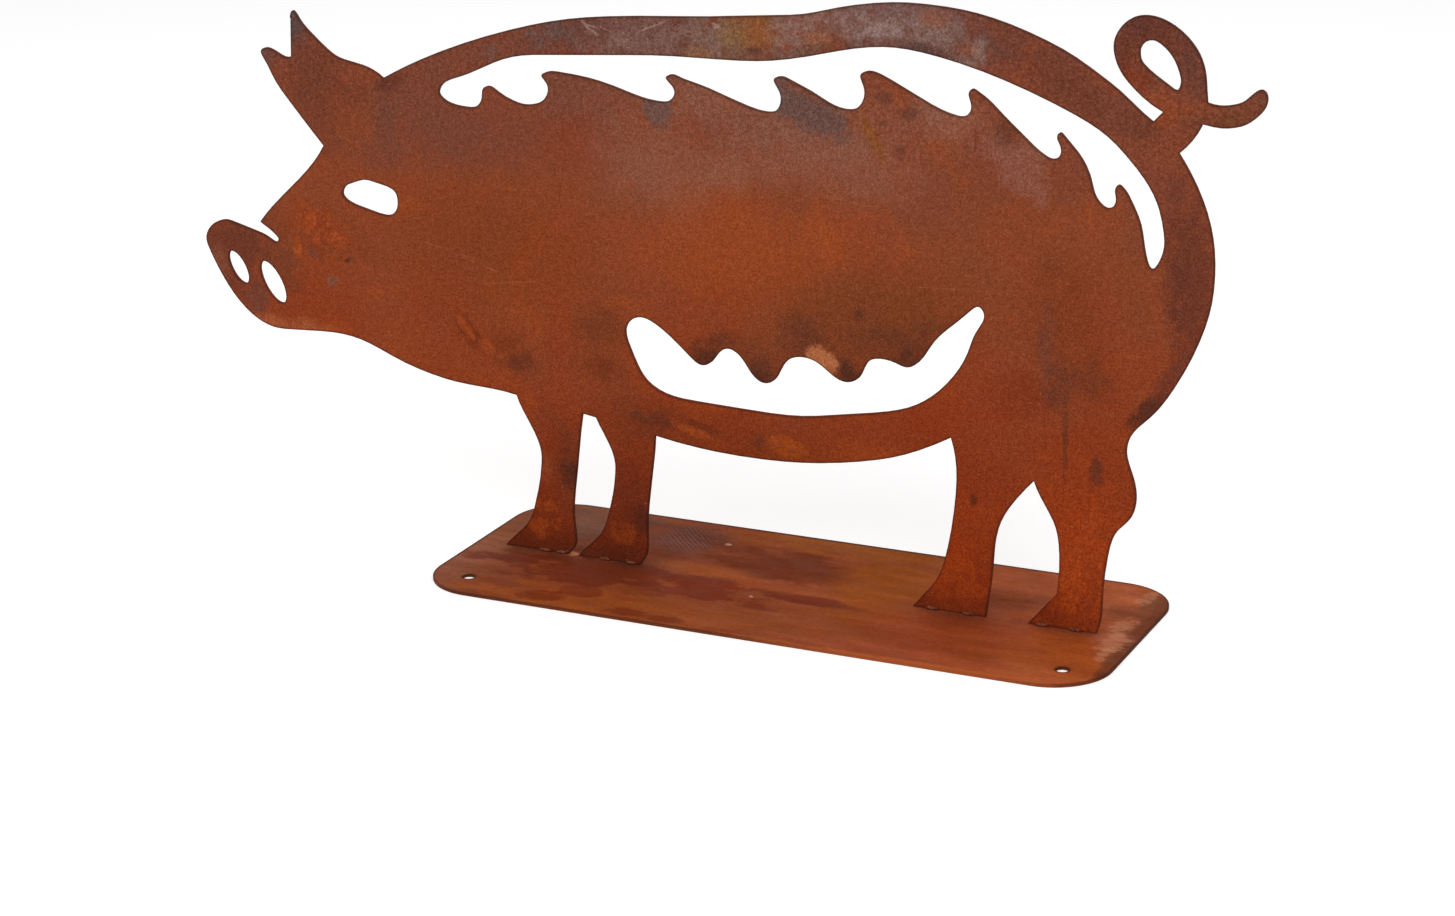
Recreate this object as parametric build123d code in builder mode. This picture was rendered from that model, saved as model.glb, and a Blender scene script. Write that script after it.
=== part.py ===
# Garden pig ornament: a flat pig silhouette cut from rusted sheet steel, standing upright on a
# rusted base plate and held there by two small tack welds at each foot.
# Millimetres, +Z up, head towards -X. The origin is the middle of the plate's underside.
import os
from build123d import *

# Pig sheet
pig_length = 570
pig_height = 301
sheet_thickness = 1.5
small_nostril_length = 18.6
small_nostril_width = 8.6
large_nostril_length = 24
large_nostril_width = 10.6
nostril_lean = 29

# Base plate
plate_depth = 140
plate_thickness = 1.5
plate_corner_radius = 30
toe_margin = 16.6
heel_margin = 21.9
hole_diameter = 6.4
hole_end_inset = 21.5
hole_front_inset = 21

# Tack welds
weld_length = 7
weld_leg = 2.2
weld_end_share = .7

# Outline of the pig, anticlockwise: shares of its length from the snout and of its height from the
# soles. Each row starts where the row before it ends, and a row of one point is a straight edge.
forehead_shares = ((.12, .642), (.10, .604), (.08, .569), (.0605, .529))
snout_shares = (
    (.070, .5175), (.077, .507), (.079, .501), (.0765, .496), (.070, .500), (.05, .5135),
    (.030, .5235), (.0235, .5255), (.0165, .523), (.0055, .5095), (.0005, .488), (.0033, .469),
    (.015, .4265), (.025, .398), (.039, .3695), (.053, .351), (.070, .3405),
)
throat_shares = (
    (.085, .340), (.12, .344), (.14, .344), (.16, .3385), (.20, .3105), (.23, .2935), (.26, .2835),
    (.30, .279), (.3205, .274),
)
belly_shares = (
    (.507, .222), (.55, .2182), (.60, .2216), (.65, .2355), (.69, .2555), (.72, .2805), (.7365, .2975),
)
rump_shares = (
    (.8725, .031), (.873, .060), (.874, .0935), (.877, .136), (.8845, .177), (.8945, .198),
    (.9005, .236), (.897, .272), (.8912, .310), (.894, .335), (.91, .370), (.93, .422), (.95, .500),
    (.959, .558), (.9615, .614), (.959, .668), (.9505, .7215), (.94, .762), (.9293, .7935),
)
tail_root_shares = ((.936, .806), (.9425, .822), (.948, .8415))
tail_tip_shares = (
    (.956, .839), (.965, .838), (.9735, .840), (.983, .846), (.9925, .8595), (.9985, .8745),
    (1, .888), (.9985, .897), (.9953, .901), (.9915, .899), (.9875, .893), (.980, .8805), (.971, .8742),
    (.962, .872), (.9515, .875),
)
tail_loop_shares = (
    (.9503, .899), (.9485, .924), (.9435, .948), (.935, .969), (.922, .988), (.911, .997), (.90, 1),
    (.889, .9955), (.879, .980), (.8733, .957), (.8745, .932), (.88, .910), (.89, .8885),
    (.9045, .8665), (.915, .8555),
)
slot_end_shares = ((.907, .839),)
back_shares = (
    (.90, .8485), (.88, .880), (.86, .906), (.84, .929), (.81, .9545), (.78, .9735), (.75, .986),
    (.72, .9915), (.69, .992), (.66, .986), (.63, .9745), (.605, .963), (.57, .956), (.52, .9475),
    (.47, .9415), (.43, .936), (.38, .924), (.33, .9015), (.28, .871), (.23, .832), (.198, .801),
)
ear_back_shares = (
    (.19, .811), (.18, .8185), (.16, .826), (.15, .832), (.14, .8445), (.1253, .868), (.1147, .8895),
    (.1105, .901), (.1083, .9035), (.1066, .9005), (.1058, .890),
)
ear_front_shares = ((.104, .825),)
ear_lobe_shares = (
    (.0975, .823), (.090, .829), (.0835, .8345), (.0775, .836), (.073, .8315), (.0765, .813),
    (.085, .783), (.10, .746), (.12, .702), (.1327, .675),
)

# The two fore legs have one front edge but not one heel: shares of the pig's length behind the toe,
# and of its height
leading_fore_toe_share = .304
trailing_fore_toe_share = .378
fore_front_shares = (
    (.0262, .236), (.0354, .204), (.0396, .177), (.0391, .152), (.0375, .130), (.0327, .091),
    (.0265, .0565), (.0213, .0415), (.0127, .025), (0, 0),
)
leading_fore_sole_shares = ((.064, 0),)
leading_fore_rear_shares = (
    (.0685, .010), (.0718, .022), (.0722, .033), (.071, .055), (.0706, .085), (.0722, .116),
    (.0752, .157), (.0796, .2225),
)
trailing_fore_sole_shares = ((.062, 0),)
trailing_fore_rear_shares = (
    (.0655, .0095), (.0684, .0193), (.0697, .029), (.0701, .046), (.0703, .062), (.0706, .085),
    (.0722, .116), (.0752, .157), (.0796, .2225),
)
fore_gap_shares = ((.3866, .2565), (.3998, .2525))
fore_belly_shares = ((.458, .2345),)

# The hind legs differ
leading_hind_front_shares = (
    (.74, .272), (.7418, .235), (.7405, .190), (.7375, .145), (.732, .0935), (.7264, .0615),
    (.7165, .033), (.702, 0),
)
leading_hind_sole_shares = ((.7692, 0),)
leading_hind_rear_shares = (
    (.772, .036), (.7748, .080), (.7765, .125), (.781, .163), (.7895, .193), (.811, .243),
)
trailing_hind_front_shares = (
    (.8215, .204), (.8305, .172), (.834, .139), (.8344, .0935), (.8328, .0585),
)
trailing_hind_hoof_shares = ((.807, 0),)
trailing_hind_sole_shares = ((.868, 0),)

# Cut-outs of the sheet, clockwise from their left ends
eye_shares = (
    (.1502, .597), (.153, .607), (.162, .6155), (.1745, .6225), (.187, .619), (.199, .6135),
    (.205, .606), (.207, .592), (.205, .575), (.199, .566), (.19, .5652), (.175, .5715),
    (.16, .579), (.1525, .587),
)
tail_hole_shares = (
    (.895, .944), (.8985, .958), (.9055, .963), (.913, .957), (.922, .940), (.928, .916),
    (.929, .900), (.9262, .8905), (.9205, .895), (.91, .908), (.90, .9225), (.896, .932),
)
bristle_roof_shares = (
    (.2545, .787), (.258, .799), (.266, .808), (.28, .8175), (.31, .843), (.33, .856), (.36, .8635),
    (.42, .8715), (.47, .878), (.53, .8797), (.57, .8835), (.61, .897), (.65, .9145), (.685, .921),
    (.72, .9135), (.76, .896), (.80, .8715), (.84, .841), (.87, .8095), (.89, .774), (.905, .739),
    (.9135, .707), (.918, .672), (.9165, .629), (.909, .610),
)
bristle_teeth_shares = (
    (.9035, .632), (.8985, .680), (.8905, .713), (.8835, .7325), (.8795, .7367), (.877, .731),
    (.8775, .716), (.8755, .7025), (.871, .6987), (.8655, .7035), (.86, .717), (.856, .742),
    (.848, .773), (.8335, .804), (.829, .8097), (.827, .8045), (.8293, .7905), (.829, .773),
    (.8245, .7678), (.8165, .772), (.80, .7962), (.78, .8295), (.765, .8545), (.7575, .8635),
    (.7535, .8663), (.7508, .861), (.7522, .845), (.7518, .8305), (.747, .8225), (.739, .8223),
    (.72, .834), (.70, .8525), (.68, .871), (.669, .8793), (.661, .8805), (.6552, .874),
    (.6573, .8585), (.6578, .8365), (.6515, .8205), (.642, .817), (.63, .822), (.61, .841),
    (.592, .8555), (.5825, .8605), (.577, .856), (.5805, .840), (.5828, .821), (.5785, .8055),
    (.569, .8018), (.553, .8075), (.53, .822), (.505, .837), (.4885, .8455), (.4805, .8485),
    (.4765, .844), (.481, .8325), (.4842, .819), (.480, .807), (.468, .803), (.4505, .808),
    (.43, .8192), (.40, .8318), (.372, .837), (.362, .8355), (.357, .829), (.3605, .8195),
    (.3628, .807), (.3585, .7895), (.35, .7808), (.338, .778), (.325, .784), (.3125, .796),
    (.3035, .8033), (.299, .799), (.2972, .783), (.292, .7685), (.279, .765), (.2645, .7695),
    (.2565, .7785),
)
teat_shares = (
    (.4317, .405), (.435, .426), (.446, .437), (.4595, .430), (.4765, .408), (.4935, .380),
    (.5055, .3675), (.514, .3745), (.5205, .390), (.530, .401), (.541, .392), (.5495, .371),
    (.557, .3555), (.565, .350), (.574, .3575), (.58, .3765), (.5885, .396), (.60, .402),
    (.6135, .3965), (.626, .3805), (.6405, .369), (.6525, .3785), (.6585, .400), (.6625, .4095),
    (.674, .415), (.687, .4105), (.6965, .406), (.7055, .414), (.72, .4515), (.74, .488),
    (.7535, .5115), (.761, .519),
)
belly_slot_floor_shares = (
    (.7648, .511), (.759, .480), (.7502, .4385), (.74, .405), (.72, .3645), (.70, .3405), (.68, .328),
    (.64, .3135), (.60, .301), (.55, .2997), (.50, .303), (.46, .317), (.45, .331), (.437, .375),
)
small_nostril_share = (.034, .4425)
large_nostril_share = (.0706, .4227)

leading_fore_heel_share = leading_fore_toe_share + leading_fore_sole_shares[0][0]
trailing_fore_heel_share = trailing_fore_toe_share + trailing_fore_sole_shares[0][0]

# Each foot's name, its toe and heel as shares of the pig's length, and its two welds as shares of the foot
feet_shares = (
    ("leading_fore", leading_fore_toe_share, leading_fore_heel_share, (.64, .90)),
    ("trailing_fore", trailing_fore_toe_share, trailing_fore_heel_share, (.44, .86)),
    ("leading_hind", leading_hind_front_shares[-1][0], leading_hind_sole_shares[0][0], (.27, .77)),
    ("trailing_hind", trailing_hind_hoof_shares[0][0], trailing_hind_sole_shares[0][0], (.21, .71)),
)

# Sizes that follow from the ones above
stance_start = pig_length * leading_fore_toe_share
stance_end = pig_length * trailing_hind_sole_shares[0][0]
plate_length = toe_margin + stance_end - stance_start + heel_margin
snout_x = toe_margin - plate_length / 2 - stance_start
near_face_y = -sheet_thickness / 2


def place(share):
    """Point of the sheet for a pair of shares."""
    along, up = share
    return (snout_x + along * pig_length, plate_thickness + up * pig_height)


def shifted(shares, toe_share):
    """A fore leg's points moved to stand behind its toe."""
    return tuple((toe_share + along, up) for along, up in shares)


def edge(start_share, shares):
    """One run of the outline from a corner to the next one."""
    points = [place(start_share)] + [place(share) for share in shares]
    if len(points) == 2:
        Line(*points)
    else:
        Spline(*points)


fore_rear_top_share, fore_gap_end_share = fore_gap_shares
outline_runs = (
    forehead_shares,
    snout_shares + throat_shares,
    shifted(fore_front_shares, leading_fore_toe_share),
    shifted(leading_fore_sole_shares, leading_fore_toe_share),
    shifted(leading_fore_rear_shares, leading_fore_toe_share) + (fore_rear_top_share,),
    (fore_gap_end_share,),
    shifted(fore_front_shares, trailing_fore_toe_share),
    shifted(trailing_fore_sole_shares, trailing_fore_toe_share),
    shifted(trailing_fore_rear_shares, trailing_fore_toe_share) + fore_belly_shares,
    belly_shares,
    leading_hind_front_shares,
    leading_hind_sole_shares,
    leading_hind_rear_shares,
    trailing_hind_front_shares,
    trailing_hind_hoof_shares,
    trailing_hind_sole_shares,
    rump_shares,
    tail_root_shares,
    tail_tip_shares,
    tail_loop_shares,
    slot_end_shares,
    back_shares,
    ear_back_shares,
    ear_front_shares,
    ear_lobe_shares,
)

os.makedirs("parts", exist_ok=True)

# Pig: one sheet, its soles on the plate's top face
with BuildPart() as pig:
    with BuildSketch(Plane.XZ):
        with BuildLine():
            corner_share = outline_runs[-1][-1]
            for run in outline_runs:
                edge(corner_share, run)
                corner_share = run[-1]
        make_face()
        for closed_shares in (eye_shares, tail_hole_shares):
            with BuildLine():
                Spline(*[place(share) for share in closed_shares], periodic=True)
            make_face(mode=Mode.SUBTRACT)
        for first_shares, second_shares in (
            (bristle_roof_shares, bristle_teeth_shares),
            (teat_shares, belly_slot_floor_shares),
        ):
            with BuildLine():
                Spline(*[place(share) for share in first_shares + second_shares], periodic=True)
            make_face(mode=Mode.SUBTRACT)
        for centre_share, length, width in (
            (small_nostril_share, small_nostril_length, small_nostril_width),
            (large_nostril_share, large_nostril_length, large_nostril_width),
        ):
            with Locations(place(centre_share)):
                Ellipse(width / 2, length / 2, rotation=nostril_lean, mode=Mode.SUBTRACT)
    extrude(amount=sheet_thickness / 2, both=True)
pig.part.label = "pig_profile"
export_step(pig.part, "parts/pig_profile.step")

# Base plate: rounded corners and a screw hole at each near corner
with BuildPart() as plate:
    with BuildSketch():
        RectangleRounded(plate_length, plate_depth, plate_corner_radius)
        with Locations((0, hole_front_inset - plate_depth / 2)):
            with GridLocations(plate_length - 2 * hole_end_inset, 0, 2, 1):
                Circle(hole_diameter / 2, mode=Mode.SUBTRACT)
    extrude(amount=plate_thickness)
plate.part.label = "base_plate"
export_step(plate.part, "parts/base_plate.step")

# Tack welds: a quarter-round bead with rounded ends in the near corner between sheet and plate
for foot, toe_share, heel_share, weld_shares in feet_shares:
    for end, weld_share in zip(("front", "back"), weld_shares):
        weld_x, weld_z = place((toe_share + weld_share * (heel_share - toe_share), 0))
        with BuildPart() as weld:
            weld_start = (weld_x - weld_length / 2, near_face_y, weld_z)
            with BuildSketch(Plane(weld_start, x_dir=(0, 1, 0), z_dir=(1, 0, 0))):
                with BuildLine():
                    CenterArc((0, 0), weld_leg, 90, 90)
                    Polyline((-weld_leg, 0), (0, 0), (0, weld_leg))
                make_face()
            extrude(amount=weld_length)
            fillet(weld.edges().filter_by(GeomType.CIRCLE), radius=weld_leg * weld_end_share)
        weld.part.label = f"{foot}_{end}_weld"
        export_step(weld.part, f"parts/{foot}_{end}_weld.step")
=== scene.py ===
# Dresses the rusted pig ornament: rust, weld beads, raised scale, camera, floor and light.
import math
import random

import bmesh
import bpy
from mathutils import Matrix, Vector, noise


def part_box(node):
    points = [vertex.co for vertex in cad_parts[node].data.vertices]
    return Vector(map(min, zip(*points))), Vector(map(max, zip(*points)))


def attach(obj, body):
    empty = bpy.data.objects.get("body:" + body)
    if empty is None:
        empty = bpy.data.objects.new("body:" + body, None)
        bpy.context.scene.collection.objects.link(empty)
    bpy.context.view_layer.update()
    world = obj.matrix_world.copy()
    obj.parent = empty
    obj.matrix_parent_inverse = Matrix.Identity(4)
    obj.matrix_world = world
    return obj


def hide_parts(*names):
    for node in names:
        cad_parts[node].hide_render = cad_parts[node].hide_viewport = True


MM = 0.001

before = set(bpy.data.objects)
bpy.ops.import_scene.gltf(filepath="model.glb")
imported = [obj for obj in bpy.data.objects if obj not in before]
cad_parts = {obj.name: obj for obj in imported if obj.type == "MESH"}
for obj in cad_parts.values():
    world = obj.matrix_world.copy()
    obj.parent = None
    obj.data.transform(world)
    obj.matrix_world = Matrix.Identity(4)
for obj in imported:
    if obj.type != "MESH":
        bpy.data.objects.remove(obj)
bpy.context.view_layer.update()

# Places in mm, taken from the frame: the front of the sheet, then the top and the edges of the base plate.
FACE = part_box("pig_profile")[0][1] / MM
plate_low, plate_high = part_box("base_plate")
TOP = plate_high[2] / MM
LEFT_EDGE = plate_low[0] / MM
RIGHT_EDGE = plate_high[0] / MM
NEAR_EDGE = plate_low[1] / MM
FAR_EDGE = plate_high[1] / MM
HOLE_END_INSET = 21.5
HOLE_NEAR_INSET = 21

# How deep a mark goes into the sheet and into the plate, in mm.
FACE_DEPTH = 0.9
TOP_DEPTH = 2
# Height in metres over which the pig's rust changes from the ground to the back.
HEIGHT_SPAN = 0.3
# Height in metres of the fine bumps of the rust.
BUMP_HEIGHT = 0.4 * MM


def tone(red, green, blue):
    """A screen colour, 0 to 255, as the linear colour that Blender wants."""
    linear = []
    for value in (red, green, blue):
        share = value / 255
        linear.append(share / 12.92 if share < 0.04045 else ((share + 0.055) / 1.055) ** 2.4)
    return (*linear, 1)


ORANGE = tone(168, 76, 28)
RED_RUST = tone(142, 52, 20)
BROWN = tone(116, 60, 40)
DARK = tone(72, 42, 34)
PURPLE = tone(98, 62, 54)
SLATE = tone(100, 76, 70)
TAN = tone(188, 118, 78)
MIST = tone(138, 92, 74)
SOOT_AND_SHADE = tone(48, 32, 28)


class Rust:
    """One rust material: a base colour, then stains laid over it one after another."""

    def __init__(self, name, place_scale, ragged_scale=150):
        self.material = bpy.data.materials.new(name)
        self.material.use_nodes = True
        self.tree = self.material.node_tree
        self.shader = self.tree.nodes["Principled BSDF"]
        coordinates = self.tree.nodes.new("ShaderNodeTexCoord")
        self.place = coordinates.outputs["Object"]
        self.grain_place = self.mapped(place_scale)
        self.ragged = self.noise(ragged_scale, 6, 0.6)
        self.colour = None

    def put(self, kind, **values):
        node = self.tree.nodes.new(kind)
        for key, value in values.items():
            setattr(node, key, value)
        return node

    def join(self, source, target):
        if isinstance(source, bpy.types.NodeSocket):
            self.tree.links.new(source, target)
        else:
            target.default_value = source

    def mapped(self, scale):
        node = self.put("ShaderNodeMapping")
        node.inputs["Scale"].default_value = scale
        self.join(self.place, node.inputs["Vector"])
        return node.outputs["Vector"]

    def noise(self, scale, detail, rough, place=None, twist=0.0):
        node = self.put("ShaderNodeTexNoise")
        node.inputs["Scale"].default_value = scale
        node.inputs["Detail"].default_value = detail
        node.inputs["Roughness"].default_value = rough
        node.inputs["Distortion"].default_value = twist
        self.join(place or self.grain_place, node.inputs["Vector"])
        return node.outputs["Fac"]

    def spread(self, value, low, high, to_low=0.0, to_high=1.0):
        node = self.put("ShaderNodeMapRange", interpolation_type="SMOOTHSTEP")
        self.join(value, node.inputs["Value"])
        node.inputs["From Min"].default_value = low
        node.inputs["From Max"].default_value = high
        node.inputs["To Min"].default_value = to_low
        node.inputs["To Max"].default_value = to_high
        return node.outputs["Result"]

    def combine(self, first, second, operation):
        node = self.put("ShaderNodeMath", operation=operation)
        self.join(first, node.inputs[0])
        self.join(second, node.inputs[1])
        return node.outputs[0]

    def blend(self, amount, colour, way="MIX"):
        """Lays a colour over what is there. Sockets 6 and 7 are the two colours, output 2 the result."""
        node = self.put("ShaderNodeMix", data_type="RGBA", blend_type=way)
        self.join(amount, node.inputs["Factor"])
        self.join(self.colour, node.inputs[6])
        self.join(colour, node.inputs[7])
        self.colour = node.outputs[2]

    def ramp(self, value, stops):
        node = self.put("ShaderNodeValToRGB")
        self.join(value, node.inputs["Fac"])
        band = node.color_ramp
        while len(band.elements) < len(stops):
            band.elements.new(0.5)
        for element, (share, colour) in zip(band.elements, stops):
            element.position = share
            element.color = colour
        return node.outputs["Color"]

    def speckle(self, value, swing, amount=1):
        """Darkens and lightens the colour by a value of 0 to 1, by a swing in red, green and blue."""
        dark = (*(0.5 - part for part in swing), 1)
        light = (*(0.5 + part for part in swing), 1)
        self.blend(amount, self.ramp(value, [(0, dark), (1, light)]), "OVERLAY")

    def gradient(self, kind, centre, turn, radii):
        """How far a point is along or round a place: SPHERICAL is 1 at the centre and 0 at the radii."""
        mapping = self.put("ShaderNodeMapping", vector_type="TEXTURE")
        mapping.inputs["Location"].default_value = centre
        mapping.inputs["Rotation"].default_value = turn
        mapping.inputs["Scale"].default_value = radii
        self.join(self.place, mapping.inputs["Vector"])
        node = self.put("ShaderNodeTexGradient", gradient_type=kind)
        self.join(mapping.outputs["Vector"], node.inputs["Vector"])
        return node.outputs["Fac"]

    def height(self):
        """0 at the ground and 1 at the top of the back."""
        return self.gradient("LINEAR", (0, 0, 0), (0, math.radians(-90), 0), (HEIGHT_SPAN,) * 3)

    def spot(self, centre, radii, turn, strength, soft, ragged):
        """A soft ragged ellipse round a place, in mm: the strength inside and 0 outside."""
        centre = [value * MM for value in centre]
        radii = [2 * value * MM for value in radii]
        near = self.gradient("SPHERICAL", centre, turn, radii)
        wander = self.spread(self.ragged, 0.3, 0.7, 1 - ragged, 1 + ragged)
        inside = self.combine(near, wander, "MULTIPLY")
        return self.spread(inside, 0.5 - soft / 2, 0.5 + soft / 2, 0, strength)

    def face_stain(self, x, z, wide, high, colour, strength, turn=0, soft=0.5, ragged=0.3):
        """A stain on the front of the sheet: its middle and half sizes in mm, its turn in degrees."""
        turn = (0, math.radians(turn), 0)
        self.blend(self.spot((x, FACE, z), (wide, FACE_DEPTH, high), turn, strength, soft, ragged), colour)

    def top_stain(self, x, y, wide, deep, colour, strength, turn=0, soft=0.5, ragged=0.3):
        """A stain on the top of the base plate: its middle and half sizes in mm, its turn in degrees."""
        turn = (0, 0, math.radians(turn))
        self.blend(self.spot((x, y, TOP), (wide, deep, TOP_DEPTH), turn, strength, soft, ragged), colour)

    def darken_edges(self, width, colour, strength):
        """The dark line along every edge: partly the burnt scale that the cutting beam leaves, partly painted
        shade that darkens the cut walls and makes the edges look rounded.
        """
        rounded = self.put("ShaderNodeBevel", samples=6)
        rounded.inputs["Radius"].default_value = width * MM
        flat = self.put("ShaderNodeNewGeometry")
        likeness = self.put("ShaderNodeVectorMath", operation="DOT_PRODUCT")
        self.join(rounded.outputs["Normal"], likeness.inputs[0])
        self.join(flat.outputs["Normal"], likeness.inputs[1])
        self.blend(self.spread(likeness.outputs["Value"], 0.996, 0.94, 0, strength), colour)

    def finish(self, rough_low, rough_high, shine, bump, bump_scale):
        """Joins the colour to the shader and adds the roughness, the shine and the fine bumps."""
        self.join(self.colour, self.shader.inputs["Base Color"])
        rough = self.spread(self.noise(90, 6, 0.65), 0.3, 0.7, rough_low, rough_high)
        self.join(rough, self.shader.inputs["Roughness"])
        self.shader.inputs["Specular IOR Level"].default_value = shine
        node = self.put("ShaderNodeBump")
        node.inputs["Strength"].default_value = bump
        node.inputs["Distance"].default_value = BUMP_HEIGHT
        height = self.combine(self.noise(bump_scale, 4, 0.7), self.noise(bump_scale / 7, 3, 0.6), "ADD")
        self.join(height, node.inputs["Height"])
        self.join(node.outputs["Normal"], self.shader.inputs["Normal"])
        return self.material


def head_marks(rust):
    """Grey ear tip, dark notch and snout, orange scale on the cheek with dark pits."""
    rust.face_stain(-275, 268, 7, 11, tone(84, 68, 66), 0.9, soft=0.7)
    rust.face_stain(-266, 242, 13, 18, tone(100, 54, 39), 0.6, soft=0.8)
    rust.face_stain(-293, 251, 6, 6, tone(98, 66, 62), 0.65, soft=0.8)
    rust.face_stain(-221, 240, 9, 4, DARK, 0.5, turn=-20, soft=0.8)
    rust.face_stain(-224, 222, 6, 12, PURPLE, 0.4, soft=0.8)
    rust.face_stain(-229, 202, 18, 8, PURPLE, 0.35, soft=0.8)
    rust.face_stain(-262, 222, 16, 26, tone(110, 58, 40), 0.6, soft=0.9)
    rust.face_stain(-242, 234, 9, 7, tone(98, 52, 38), 0.5, soft=0.8)
    rust.face_stain(-319, 146, 20, 28, tone(101, 52, 38), 0.85, turn=20, soft=0.8)
    rust.face_stain(-288, 136, 9, 13, tone(98, 54, 36), 0.5, soft=0.8, ragged=0.5)
    rust.face_stain(-307, 118, 6, 7, PURPLE, 0.6, soft=0.8)
    rust.face_stain(-263, 158, 22, 12, tone(116, 52, 26), 0.6, turn=20, soft=0.8, ragged=0.4)
    rust.face_stain(-265, 162, 18, 7, tone(150, 62, 30), 0.4, turn=16, ragged=0.6)
    rust.face_stain(-280.5, 149.5, 2.3, 4.6, tone(170, 80, 34), 0.7, ragged=0.5)
    rust.face_stain(-234, 129, 4, 3, ORANGE, 0.5, ragged=0.6)
    rust.face_stain(-289, 107, 22, 3.5, tone(166, 92, 58), 0.55, soft=0.8, ragged=0.5)
    rust.face_stain(-253, 145.6, 3.8, 1.8, tone(80, 30, 18), 0.85, turn=12, ragged=0.8)
    rust.face_stain(-246.5, 145.5, 3, 1.6, PURPLE, 0.6, ragged=0.8)
    rust.face_stain(-270.5, 146.5, 3, 2.6, PURPLE, 0.5, ragged=0.8)
    rust.face_stain(-259, 146.3, 2, 1.4, MIST, 0.6, ragged=0.8)
    rust.face_stain(-261, 133, 4, 2.6, tone(116, 80, 66), 0.5, ragged=0.8)
    granule = rust.spread(rust.noise(330, 3, 0.6), 0.46, 0.6)
    scabby = rust.spot((-263, FACE, 160), (19, FACE_DEPTH, 7.5), (0, math.radians(20), 0), 0.5, 0.5, 0.5)
    rust.blend(rust.combine(scabby, granule, "MULTIPLY"), tone(184, 82, 40))


def neck_marks(rust):
    """Purplish above and clearer orange below."""
    rust.face_stain(-180, 214, 42, 15, PURPLE, 0.35, soft=0.8)
    rust.face_stain(-113, 215, 16, 13, RED_RUST, 0.3, soft=0.8)
    rust.face_stain(-165, 158, 54, 32, tone(124, 58, 24), 0.5, soft=0.8)
    rust.face_stain(-27, 172, 52, 24, ORANGE, 0.3, soft=0.8)
    rust.face_stain(-158, 108, 10, 8, tone(104, 48, 24), 0.5, soft=0.8)
    rust.face_stain(-105, 126, 12, 10, tone(98, 52, 32), 0.5, soft=0.8)
    # Small changes of tone on the belly strip, hind leg, rump, snout and fore leg, then the shoulder.
    rust.face_stain(-103, 104, 9, 6, tone(98, 40, 18), 0.5, soft=0.8)
    rust.face_stain(104, 34, 7, 6, tone(96, 46, 28), 0.5, soft=0.8)
    rust.face_stain(179, 119, 7, 8, tone(136, 68, 38), 0.5, soft=0.8)
    rust.face_stain(-329, 137, 7, 7, tone(136, 78, 58), 0.5, soft=0.8)
    rust.face_stain(-139, 47, 5, 7, tone(148, 72, 36), 0.5, soft=0.8)
    rust.face_stain(-29, 214, 18, 10, tone(146, 100, 80), 0.35, soft=0.8)


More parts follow.
